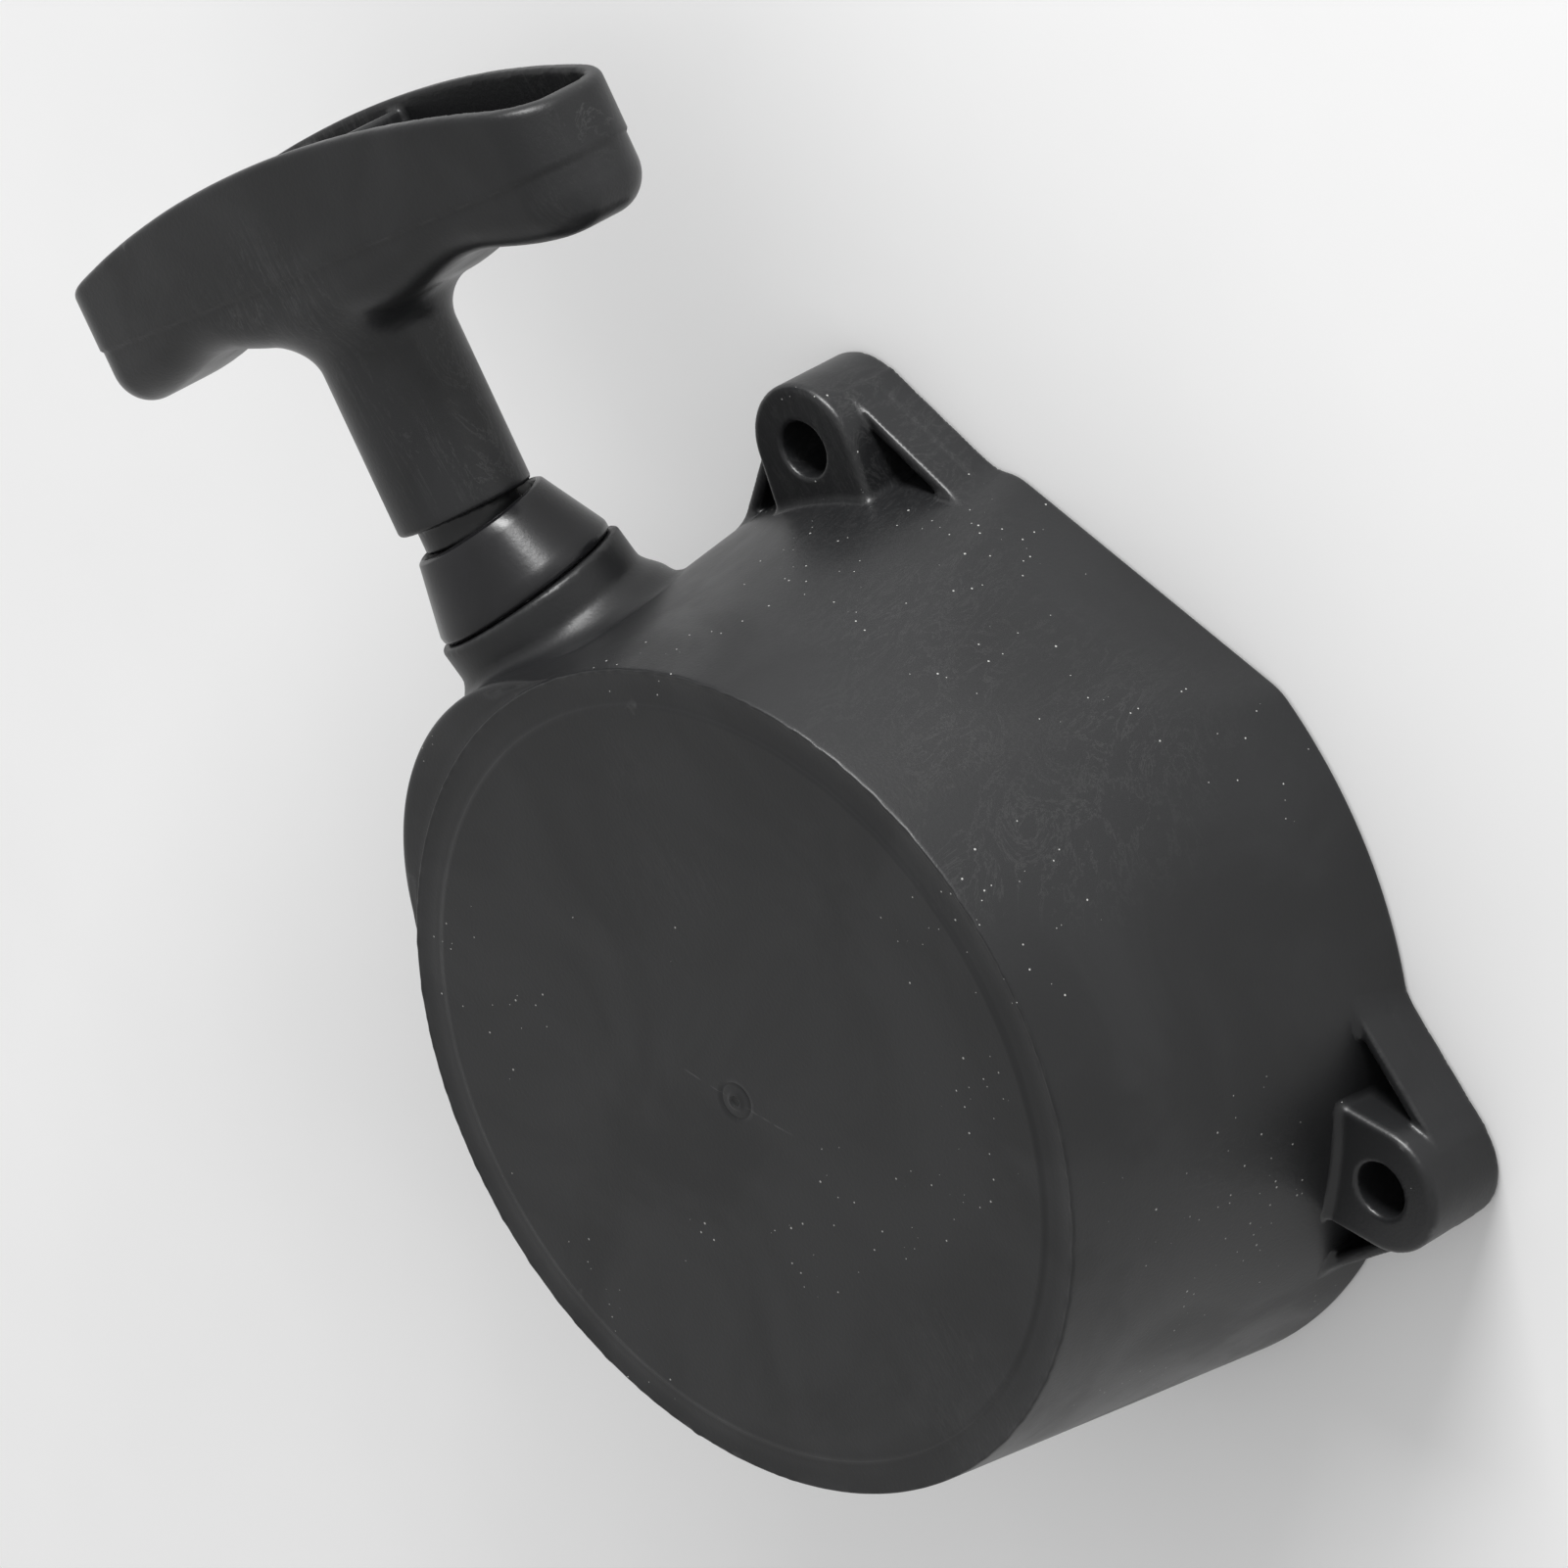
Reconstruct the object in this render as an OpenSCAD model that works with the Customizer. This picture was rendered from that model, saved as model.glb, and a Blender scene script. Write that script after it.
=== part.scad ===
// Recoil starter for a small engine: a cup-shaped moulded housing with three screw
// ears, a rope reel with a drive cup turning on a centre post, a return spring in a
// steel case, and a T-handle on a rope that leaves through a tapered guide.
// Origin: centre of the screw circle on the mounting face. +Z: away from the engine.
// +X: the way the rope is pulled.

/* [Housing] */
// Height from the mounting face to the closed face
body_h = 47.3; // [43:0.1:57]
// Outer radius of the closed face
face_r = 47; // [45.5:0.1:50]
// Outer radius of the rim at the mounting face
rim_r = 53; // [50.5:0.1:64]
// Inner radius of the rim
rim_bore_r = 48; // [46.5:0.1:49]
// Thickness of the closed face
face_t = 2.8; // [2:0.1:3.5]
// Wall thickness at the closed end and round the lobe
wall_t = 2.4; // [1.8:0.1:3]
// Chamfer round the closed face
edge_c = 0.6; // [0.3:0.1:1.2]
// Height of the slightly raised middle of the closed face
raised_h = 0.25; // [0.1:0.05:0.5]
// Width of the lower band round the raised middle
raised_band = 3.8; // [2:0.1:6]
// Distance of the flat on the wall from the axis
flat_d = 49.4; // [49.2:0.1:53]
// Direction the flat faces, in degrees
flat_a = -56.7; // [-62:0.1:-50]
// Radius of the lobe that carries the rope outlet
lobe_r = 28.7; // [27:0.1:31]
// Lobe centre along the pull direction
lobe_x = 20.8; // [19.5:0.1:22.5]
// Lobe centre across the pull direction
lobe_y = 10.9; // [9.5:0.1:12.5]
// Step from the closed face down to the top of the lobe
lobe_drop = 1; // [0.7:0.1:1.5]

/* [Ears] */
// Number of screw ears
ear_n = 3; // [3:1:3]
// Direction of the first ear, in degrees
ear_a = -14; // [-20:1:-8]
// Radius of the screw circle
ear_pcr = 57.75; // [56:0.05:70]
// Screw hole radius
ear_hole_r = 3.2; // [2.6:0.1:3.8]
// Outer radius of the round end of an ear
ear_r = 7.3; // [6.5:0.1:9]
// Height of an ear
ear_h = 10.8; // [9:0.1:13]
// Floor thickness of the pockets in an ear
ear_floor = 3; // [2:0.1:4]
// Height of the side ribs
ear_rib_h = 7.4; // [6:0.1:8.5]
// Thickness of the side ribs
ear_rib_t = 1.4; // [1:0.1:2]
// Half angle at which the side ribs meet the wall, in degrees
ear_half = 18; // [17:0.5:20]

/* [Rope outlet] */
// Distance of the pull axis from the reel axis
pull_y = 13.3; // [12:0.1:14.5]
// Height of the pull axis over the mounting face
pull_z = 32.3; // [31:0.1:33]
// Tilt of the boss and guide towards the closed face, in degrees
guide_tilt = 11; // [0:0.5:12]
// Where the outlet boss ends, along the pull axis
boss_x = 56.3; // [54:0.1:58]
// Radius of the boss at its end
boss_r = 11.5; // [11:0.1:12.5]
// Radius of the boss at the wall
boss_root_r = 13.4; // [12.5:0.1:14]
// Length of the tapered guide outside the boss
guide_l = 9.1; // [8:0.1:11]
// Guide radius against the boss
guide_r = 10.8; // [10:0.1:11.4]
// Guide radius at its outer end
guide_end_r = 8.1; // [7.9:0.1:9]
// Radius of the guide's spigot in the boss
spigot_r = 6; // [5.8:0.1:7]
// Rope hole radius in the guide
guide_bore_r = 2.6; // [2.2:0.1:2.8]
// Depth of the seat for the handle's nose
seat_depth = 2.5; // [1.5:0.1:3.5]

/* [Centre post] */
// Post radius
post_r = 5; // [4:0.1:5.2]
// Height of the post's free end over the mounting face
post_end_z = 21.2; // [20.8:0.1:22]
// Running clearance round the post
run_fit = 0.08; // [0.03:0.01:0.15]
// Outer radius of the bearing sleeve
sleeve_r = 6.5; // [6.2:0.1:7]
// Outer radius of the threaded insert
insert_r = 3.2; // [2.8:0.1:3.6]
// Length of the threaded insert
insert_l = 10; // [6:0.5:14]
// Radius of the retaining screw's shank
screw_r = 2.5; // [2:0.1:2.6]

/* [Reel] */
// Outer radius of the reel's lower flange
flange_r = 43.25; // [41:0.05:43.5]
// Outer radius of the reel's upper flange
top_flange_r = 41.5; // [38:0.1:42.5]
// Height of the reel's visible face over the mounting face
reel_z = 19.7; // [19:0.1:20.5]
// Thickness of each flange
flange_t = 2; // [1.6:0.1:2.4]
// Drum radius
drum_r = 24; // [20:0.1:27]
// Outer radius of the drive cup
cup_r = 17; // [16.6:0.1:19]
// Bore radius of the drive cup
cup_bore_r = 13.8; // [12:0.1:14]
// Height of the drive cup's rim over the mounting face
cup_z = 6.3; // [5:0.1:8]
// Height of the drive cup's floor over the mounting face
cup_floor_z = 15.8; // [15.6:0.1:16.6]
// Reach of the two driving lugs from the axis
lug_reach = 23; // [21:0.1:25]
// Width of a driving lug
lug_w = 8.4; // [7:0.1:10]
// Direction of the driving lugs, in degrees
lug_a = 142; // [138:1:146]
// Direction of the notch in the flange, in degrees
notch_a = 126; // [120:1:132]

/* [Rope] */
// Rope radius
rope_r = 1.6; // [1.4:0.05:1.7]
// Full turns in the inner layer on the reel
inner_turns = 3; // [2:1:3]
// Full turns lying over the inner layer
outer_turns = 2; // [1:1:2]

/* [Spring] */
// Width of the spring strip
strip_w = 6; // [5:0.1:6.2]
// Thickness of the spring strip
strip_t = 0.4; // [0.3:0.05:0.6]
// Number of half turns in the spring
strip_half_turns = 20; // [12:2:22]
// Outer radius of the spring case
case_r = 36; // [34:0.5:38]

/* [Handle] */
// Length of the grip
grip_l = 82; // [68:0.5:98]
// Grip width at the middle
grip_w = 20.5; // [18.5:0.5:24]
// Grip width near its ends
grip_end_w = 15.5; // [14:0.5:17.5]
// Height of the grip at the middle, along the stem
grip_h = 20; // [18:0.5:23]
// Rise of the grip's arched outer edge
grip_rise = 6; // [4:0.5:7]
// Where the grip's underside starts, along the stem
grip_x = 90; // [87:0.5:103]
// Wall thickness of the grip
grip_wall = 2; // [1.6:0.1:2.6]
// Distance of each cross rib from the middle
rib_off = 7.5; // [7:0.5:10]
// Stem radius at its shoulder against the guide
stem_r = 7.7; // [7.3:0.1:8.1]
// Stem radius at the grip
stem_top_r = 7.8; // [7.3:0.1:8.3]
// Roll of the grip about its stem, in degrees
grip_roll = 2; // [-30:1:60]
// Sideways lean of the resting handle from the pull axis, in degrees
lean_side = -5; // [-7:0.5:0]
// Lean of the resting handle towards the closed face, in degrees
lean_up = 1; // [0:0.5:4]
// Distance of the grip's middle from the stem, along the grip
grip_off = -2.5; // [-5:0.5:0]

/* [Hidden] */
$fn = 96;

// housing
ceil_z = body_h - face_t;                    // inside of the closed face
ceil_r = face_r - wall_t;                    // cavity radius there
lobe_wall_x = lobe_x + lobe_r;
boss_in_x = lobe_wall_x - 9;                 // the boss starts inside the wall
lobe_floor_z = 12;                           // the lobe is hollow above this height
// reel and rope
rope_gap = 0.1;                              // between the rope and the drum
turn_gap = 0.3;                              // between neighbouring turns
turn_pitch = 2 * rope_r + turn_gap;
rope_in_r = drum_r + rope_r + rope_gap;      // centreline of the inner layer
rope_out_r = rope_in_r + turn_pitch;
anchor_a = 200;                              // direction of the rope's hole in the drum
groove_gap = 0.3;
groove_top = pull_z + rope_r + groove_gap;
groove_low = turn_z(inner_turns - 1) - rope_r - groove_gap;
reel_top = groove_top + flange_t;
web_r = drum_r - 4;                          // inside of the drum
hub_r = 9.2;                                 // reel hub inside the spring
hollow_in_r = 10.5;                          // inside of the hollow round the hub
// spring space
cover_t = 0.6;
cover_z = reel_top + 0.4;
case_t = 0.5;
strip_z = cover_z + cover_t + 0.4;
strip_in_r = hub_r + 0.3;
strip_out_r = case_r - 2.5;
strip_pitch = (strip_out_r - strip_in_r) / (strip_half_turns / 2);
hub_top = strip_z + strip_w;
// retaining screw stack
end_play = 0.2;
washer_t = 1.2;
washer_z = post_end_z - washer_t;
lock_t = 1;
lock_z = washer_z - lock_t;
head_h = 2.9;
head_z = lock_z - head_h;
// rope path from the coil to the guide
bend_r = 10;
bend_x = boss_x - 8.8;                       // where the rope becomes straight
bend_norm = norm([bend_x, pull_y + bend_r]);
leave_a = atan2(bend_x, pull_y + bend_r) - acos((rope_out_r + bend_r) / bend_norm);
leave_pt = [rope_out_r * sin(leave_a), rope_out_r * cos(leave_a), pull_z];
bend_pt = [bend_x - bend_r * sin(leave_a), pull_y + bend_r - bend_r * cos(leave_a), pull_z];
// guide and handle along the pull axis
spigot_l = 5;
guide_end_x = boss_x + guide_l;
seat_x = guide_end_x - seat_depth;
nose_gap = 0.3;
nose_r = 5.8;                                // the nose that enters the guide's seat
seat_r = nose_r + 1.55;
lean = acos(cos(lean_side) * cos(lean_up) * cos(guide_tilt) + sin(lean_up) * sin(guide_tilt));
nose_x = seat_x + nose_gap + nose_r * tan(lean);
stem_x = guide_end_x + nose_gap + stem_r * tan(lean);    // shoulder, clear of the guide
sag = [0.2, 0.85];                         // the loose handle rests off the rope's axis
grip_top = grip_x + grip_h;
mid_floor_x = grip_x + 6;
knot_r = 4;
knot_washer_t = 1;
knot_x = mid_floor_x + knot_washer_t;
stem_fillet = 5;
top_corner = 3;
low_corner = 5;
grip_floor = 4.5;
stem_bore_r = 3;

function on_circle(r, a) = [r * cos(a), r * sin(a)];

// Height of one turn of the rope: turn 0 is level with the pull axis.
function turn_z(k) = pull_z - k * turn_pitch;

// Places children with their +Z along the pull axis and their +X upwards.
module along_pull(x = 0) {
    translate([x, pull_y, pull_z]) rotate([0, 90, 0]) mirror([1, 0, 0]) children();
}

// Places children about the resting handle's axis, which leans in the guide's seat.
module leaning(off = [0, 0]) {
    translate([guide_end_x, pull_y + off[0], pull_z + off[1]]) rotate([0, -lean_up, lean_side])
        translate([-guide_end_x, 0, 0]) children();
}

// Places children with their +Z along the handle's axis.
module along_stem(x = 0, off = [0, 0]) {
    leaning(off) translate([x, 0, 0]) rotate([0, 90, 0]) mirror([1, 0, 0]) children();
}

// The same for the boss and guide, which tilt about the handle's seat.
module along_guide(x = 0) {
    translate([guide_end_x, pull_y, pull_z]) rotate([0, -guide_tilt, 0]) translate([x - guide_end_x, 0, 0])
        rotate([0, 90, 0]) mirror([1, 0, 0]) children();
}

module ring(r_out, r_in, z, h) {
    translate([0, 0, z]) difference() {
        cylinder(r = r_out, h = h);
        translate([0, 0, -1]) cylinder(r = r_in, h = h + 2);
    }
}

// ---- housing ----

module shell_outer() {
    slope = (rim_r - face_r) / body_h;
    difference() {
        rotate_extrude() polygon([[0, 0], [rim_r, 0], [face_r + slope * edge_c, body_h - edge_c],
                                  [face_r - edge_c, body_h], [0, body_h]]);
        rotate(flat_a) translate([flat_d, -rim_r / 2, -1]) cube([rim_r, rim_r, body_h + 2]);
    }
    translate([lobe_x, lobe_y, 0]) cylinder(r = lobe_r, h = body_h - lobe_drop);
}

module shell_inner() {
    translate([0, 0, -1]) cylinder(r1 = rim_bore_r, r2 = ceil_r, h = ceil_z + 1);
    translate([lobe_x, lobe_y, lobe_floor_z]) cylinder(r = lobe_r - wall_t, h = ceil_z - lobe_floor_z - lobe_drop);
}

// One screw ear pointing along +X: a round-ended lug on a floor with two side ribs.
module ear() {
    foot = on_circle(rim_r - 0.3, ear_half);
    centre = [ear_pcr, 0];
    span = foot - centre;
    touch_a = atan2(span[1], span[0]) - acos(ear_r / norm(span));
    touch = centre + on_circle(ear_r, touch_a);
    inward = -on_circle(ear_rib_t, touch_a);
    root_x = rim_bore_r + 1.5;
    difference() {
        union() {
            translate([ear_pcr, 0, 0]) cylinder(r = ear_r, h = ear_h);
            translate([root_x, -ear_r, 0]) cube([ear_pcr - root_x, 2 * ear_r, ear_h]);
            linear_extrude(ear_floor) polygon([foot, touch, [touch[0], -touch[1]],
                [foot[0], -foot[1]], [root_x, -foot[1]], [root_x, foot[1]]]);
            for (side = [1, -1]) mirror([0, side < 0 ? 1 : 0, 0]) linear_extrude(ear_rib_h)
                polygon([foot, touch, touch + inward, foot + inward]);
        }
        translate([ear_pcr, 0, -1]) cylinder(r = ear_hole_r, h = ear_h + 2);
        translate([0, 0, -1]) cylinder(r = rim_bore_r, h = ear_h + 2);
    }
}

module outlet_boss() {
    flare_l = 2.6;
    flare_mid_r = boss_root_r - 0.8;
    end_c = 0.5;
    along_guide(0) rotate_extrude() polygon([
        [0, boss_in_x], [boss_root_r, boss_in_x], [boss_root_r, lobe_wall_x],
        [flare_mid_r, lobe_wall_x + flare_l / 2], [boss_r, lobe_wall_x + flare_l],
        [boss_r, boss_x - end_c], [boss_r - end_c, boss_x], [0, boss_x]]);
}

module centre_post() {
    flare_r = post_r + 2;
    translate([0, 0, post_end_z]) cylinder(r = post_r, h = ceil_z - post_end_z + 1);
    translate([0, 0, hub_top + 0.3]) cylinder(r = flare_r, h = ceil_z - hub_top);
}

// Moulded ring that holds the spring case against the closed face.
module case_seat() {
    seat_t = 1.6;
    seat_h = 3;
    ring(case_r + seat_t, case_r, ceil_z - seat_h, seat_h + 1);
}

// Ring-shaped groove with a nub in its middle, left where the moulding was filled.
module gate_mark() {
    gate_r = 2.1;
    nub_r = 0.8;
    gate_depth = 0.15;
    translate([-1.4, 1.1, body_h]) ring(gate_r, nub_r, -gate_depth, 1);
}

module housing() {
    color("#2b2c2e") {
        difference() {
            union() {
                shell_outer();
                translate([0, 0, ceil_z]) cylinder(r = face_r - raised_band, h = face_t + raised_h);
                outlet_boss();
            }
            shell_inner();
            along_guide(boss_in_x) cylinder(r = spigot_r, h = boss_x);
            gate_mark();
        }
        for (i = [0:ear_n - 1]) rotate(ear_a + i * 360 / ear_n) ear();
        difference() {
            centre_post();
            translate([0, 0, post_end_z - 1]) cylinder(r = insert_r, h = insert_l + 1);
        }
        case_seat();
    }
}

module axle_insert() {
    color("#b08a3e") ring(insert_r, screw_r, post_end_z, insert_l);
}

module rope_guide() {
    lip = 1.2;
    lip_c = 0.4;
    end_c = 0.3;
    mouth_x = boss_x - spigot_l;
    color("#242527") difference() {
        along_guide(0) rotate_extrude() polygon([
            [0, mouth_x], [spigot_r, mouth_x], [spigot_r, boss_x], [guide_r - lip_c, boss_x],
            [guide_r, boss_x + lip_c], [guide_r, boss_x + lip], [guide_end_r, guide_end_x - end_c],
            [guide_end_r - end_c, guide_end_x], [0, guide_end_x]]);
        along_pull(mouth_x - 2) cylinder(r = guide_bore_r, h = spigot_l + guide_l + 4);
        along_guide(seat_x) cylinder(r = seat_r, h = seat_depth + 1);
    }
}

// ---- spring ----

module spring_case() {
    color("#9a9c9e") difference() {
        translate([0, 0, cover_z + cover_t]) cylinder(r = case_r, h = ceil_z - cover_z - cover_t);
        translate([0, 0, cover_z]) cylinder(r = case_r - case_t, h = ceil_z - case_t - cover_z);
        cylinder(r = post_r + 3, h = body_h);
    }
}

module spring_cover() {
    color("#a6a8aa") ring(case_r, hub_r + 0.7, cover_z, cover_t);
}

function strip_at(k) = strip_in_r + strip_t / 2 + k * strip_pitch / 2;

// Half a turn of a two-centre spiral: from radius ra on +X round to rb on -X.
module strip_half(ra, rb) {
    mid = (ra + rb) / 2;
    translate([(ra - rb) / 2, 0, 0]) rotate_extrude(angle = 180)
        translate([mid - strip_t / 2, 0]) square([strip_t, strip_w]);
}

module recoil_spring() {
    hook_l = 1.4;
    last = strip_at(strip_half_turns);
    color("#5d6064") translate([0, 0, strip_z]) {
        for (k = [0:strip_half_turns - 1]) rotate(k % 2 == 0 ? 0 : 180)
            strip_half(strip_at(k), strip_at(k + 1));
        translate([strip_in_r - hook_l, -strip_t, 0]) cube([hook_l + strip_t, strip_t, strip_w]);
        translate([last - strip_t / 2, 0, 0]) cube([case_r - case_t - last + strip_t / 2, strip_t, strip_w]);
    }
}

// ---- reel ----

module reel() {
    hook_slot = 1.2;
    color("#e9e9e6") difference() {
        union() {
            rotate_extrude() polygon([
                [0, cup_floor_z], [cup_bore_r, cup_floor_z], [cup_bore_r + 0.5, cup_z], [cup_r, cup_z],
                [cup_r, reel_z], [flange_r - 0.5, reel_z], [flange_r, reel_z + 0.5],
                [flange_r, reel_z + flange_t], [drum_r, groove_low], [drum_r, groove_top],
                [top_flange_r, groove_top + 0.3], [top_flange_r, reel_top], [web_r, reel_top],
                [web_r, reel_z + 3], [hollow_in_r, reel_z + 3], [hollow_in_r, reel_top],
                [hub_r, reel_top], [hub_r, hub_top], [0, hub_top]]);
            for (side = [0, 180]) rotate(lug_a + side)
                translate([cup_bore_r + 1, -lug_w / 2, cup_z]) cube([lug_reach - cup_bore_r - 1, lug_w,
                                                              reel_z - cup_z + 0.5]);
        }
        cylinder(r = sleeve_r, h = body_h);
        rotate(notch_a) translate([flange_r - 3.5, -1.6, 0]) cube([6, 3.2, groove_low + 1]);
        translate([hub_r - 2, -hook_slot, strip_z - 0.2]) cube([4, hook_slot * 2, strip_w + 1]);
        anchor_frame() translate([web_r - 2, 0, 0]) rotate([0, 90, 0])
            cylinder(r = rope_r + 0.2, h = drum_r - web_r + 3);
    }
}

module bearing_sleeve() {
    color("#c9a44c") ring(sleeve_r, post_r + run_fit, post_end_z + end_play, hub_top - post_end_z - end_play);
}

// ---- rope ----

// Wound rope: full turns of the inner layer and the turns that lie over them.
module rope_coil() {
    inner_face = drum_r + rope_gap;
    color("#e4e2dc") rotate_extrude() {
        for (k = [0:inner_turns - 1]) translate([rope_in_r, turn_z(k)]) circle(rope_r);
        for (k = [1:outer_turns]) translate([rope_out_r, turn_z(k)]) circle(rope_r);
        translate([inner_face, turn_z(inner_turns - 1)])
            square([rope_in_r - inner_face, pull_z - turn_z(inner_turns - 1)]);
        translate([rope_in_r, turn_z(outer_turns)])
            square([rope_out_r - rope_in_r, turn_z(1) - turn_z(outer_turns)]);
    }
}

// Frame at the rope's hole in the drum: +X points outwards.
module anchor_frame() {
    rotate(anchor_a) translate([0, 0, turn_z(1)]) children();
}

module reel_knot() {
    color("#e4e2dc") anchor_frame() {
        translate([web_r - knot_r + 0.4, 0, 0]) sphere(knot_r);
        translate([web_r - knot_r, 0, 0]) rotate([0, 90, 0])
            cylinder(r = rope_r, h = drum_r + rope_gap - web_r + knot_r);
    }
}

module rope_run() {
    overlap = 0.3;
    color("#e4e2dc") {
        translate(leave_pt) rotate([0, 90, -leave_a])
            cylinder(r = rope_r - 0.02, h = norm(bend_pt - leave_pt) + overlap);
        translate([bend_x, pull_y + bend_r, pull_z]) rotate(-90 - leave_a) rotate_extrude(angle = leave_a)
            translate([bend_r, 0]) circle(rope_r);
    }
}

// Straight through the guide, then along the handle's axis to the knot.
module rope_lead() {
    lap = 0.3;
    leaning_r = rope_r - 0.05;                   // its end stays inside the straight piece
    color("#e4e2dc") {
        along_pull(bend_x) cylinder(r = rope_r, h = guide_end_x + lap - bend_x);
        along_stem(guide_end_x - lap) cylinder(r = leaning_r, h = knot_x - guide_end_x + lap);
    }
}

// ---- retaining screw ----

module reel_washer() {
    color("#6d7073") ring(sleeve_r - 0.3, screw_r, washer_z, washer_t);
}

module lock_washer() {
    outer = 4.6;
    color("#57595c") difference() {
        ring(outer, screw_r, lock_z, lock_t);
        translate([0, -0.4, lock_z - 1]) cube([outer + 1, 0.8, lock_t + 2]);
    }
}

module reel_screw() {
    head_r = 4.8;
    slot = 1.3;
    color("#4a4c4f") difference() {
        union() {
            translate([0, 0, head_z]) cylinder(r1 = head_r - 1, r2 = head_r, h = 1);
            translate([0, 0, head_z + 1]) cylinder(r = head_r, h = head_h - 1);
            translate([0, 0, lock_z]) cylinder(r = screw_r, h = insert_l + lock_t + washer_t - 1);
        }
        for (a = [0, 90]) rotate(a) translate([-2.4, -slot / 2, head_z - 1]) cube([4.8, slot, 2.8]);
    }
}

// ---- handle ----

// Grip outline seen along the stem: X is its width, Y its length, cut back by inset.
module grip_plan(inset) {
    bow = (grip_w - grip_end_w) / 2;
    half = grip_l / 2;
    arc_r = (half * half + bow * bow) / (2 * bow);
    corner = 6.4;
    intersection() {
        round_rect(grip_w / 2 - inset, half - inset, corner - inset);
        translate([arc_r - grip_w / 2, 0]) circle(arc_r - inset, $fn = 360);
        translate([grip_w / 2 - arc_r, 0]) circle(arc_r - inset, $fn = 360);
    }
}

// Rectangle with round corners, given by its half sizes.
module round_rect(a, b, r) {
    square([2 * a, 2 * (b - r)], center = true);
    square([2 * (a - r), 2 * b], center = true);
    for (sx = [-1, 1], sy = [-1, 1]) translate([sx * (a - r), sy * (b - r)]) circle(r);
}

function arc(centre, r, from, to, steps) =
    [for (k = [0:steps]) centre + on_circle(r, from + (to - from) * k / steps)];

// Side shape of the grip: X along the stem, Y along the grip. The outer edge is an
// arch, the corners are round and each arm has a shallow finger hollow underneath.
module grip_side(low, top) {
    half = grip_l / 2;
    arch_r = (half * half + grip_rise * grip_rise) / (2 * grip_rise);
    arch_x = top - arch_r;
    corner_y = half - top_corner;
    corner_x = arch_x + sqrt(pow(arch_r - top_corner, 2) - pow(corner_y, 2));
    touch_a = asin(corner_y / (arch_r - top_corner));
    hollow_r = 40;
    hollow_d = 2.5;
    hollow_a = acos((hollow_r - hollow_d) / hollow_r);
    hollow_y = half - low_corner - hollow_r * sin(hollow_a) - 0.5;
    one_side = concat(
        arc([arch_x, 0], arch_r, 0, touch_a, 8),
        arc([corner_x, corner_y], top_corner, touch_a + 15, 90, 4),
        arc([low + low_corner, half - low_corner], low_corner, 90, 180, 6),
        arc([low + hollow_d - hollow_r, hollow_y], hollow_r, hollow_a, -hollow_a, 6));
    polygon(concat(one_side, [for (k = [len(one_side) - 1:-1:1]) [one_side[k][0], -one_side[k][1]]]));
}

// Handle frame: children's +Z along the handle's axis, +Y along the grip.
module grip_frame(x) {
    leaning(sag) translate([x, 0, 0]) rotate([grip_roll, 0, 0]) rotate([90, 0, 90]) rotate(90)
        mirror([0, 1, 0]) children();
}

module grip_solid(inset) {
    deep = inset > 0 ? 10 : 0;
    intersection() {
        grip_frame(0) translate([0, grip_off, grip_x]) linear_extrude(grip_h + deep) grip_plan(inset);
        leaning(sag) rotate([grip_roll, 0, 0]) translate([0, grip_off, -grip_w])
            linear_extrude(2 * grip_w) grip_side(grip_x + (inset > 0 ? grip_floor : 0), grip_top + deep);
    }
}

module handle() {
    fillet_top = grip_x + 1;
    color("#2b2c2e") difference() {
        union() {
            grip_solid(0);
            intersection() {
                along_stem(0, sag) rotate_extrude() polygon(concat(
                    [[0, nose_x], [nose_r, nose_x], [nose_r, stem_x], [stem_r - 0.5, stem_x],
                     [stem_r, stem_x + 0.5]],
                    [for (a = [0:15:90]) [stem_top_r + stem_fillet * (1 - cos(a)),
                                          fillet_top - stem_fillet + stem_fillet * sin(a)]],
                    [[stem_top_r + stem_fillet, fillet_top + 2], [0, fillet_top + 2]]));
                grip_frame(0) translate([0, grip_off, 0]) linear_extrude(grip_top) grip_plan(0);
            }
        }
        difference() {
            grip_solid(grip_wall);
            grip_frame(0) translate([-grip_w, -rib_off, grip_x]) cube([2 * grip_w, 2 * rib_off, mid_floor_x - grip_x]);
            for (sy = [-1, 1]) grip_frame(0) translate([-grip_w, sy * rib_off - grip_wall / 2, grip_x])
                cube([2 * grip_w, grip_wall, grip_h - grip_rise / 2]);
        }
        along_stem(0, sag) cylinder(r = stem_bore_r, h = grip_top);
    }
}

module handle_washer() {
    color("#8f9194") along_stem(mid_floor_x) ring(5.2, rope_r + 0.2, 0, knot_washer_t);
}

module handle_knot() {
    color("#efede6") intersection() {
        along_stem(knot_x + 2.6) sphere(knot_r);
        along_stem(knot_x) cylinder(r = knot_r, h = 8);
    }
}

housing();
axle_insert();
rope_guide();
spring_case();
recoil_spring();
spring_cover();
reel();
bearing_sleeve();
rope_coil();
reel_knot();
reel_washer();
lock_washer();
reel_screw();
rope_run();
rope_lead();
handle_knot();
handle_washer();
handle();
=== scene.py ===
import math

import bpy
import numpy as np
from mathutils import Matrix, Vector


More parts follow.
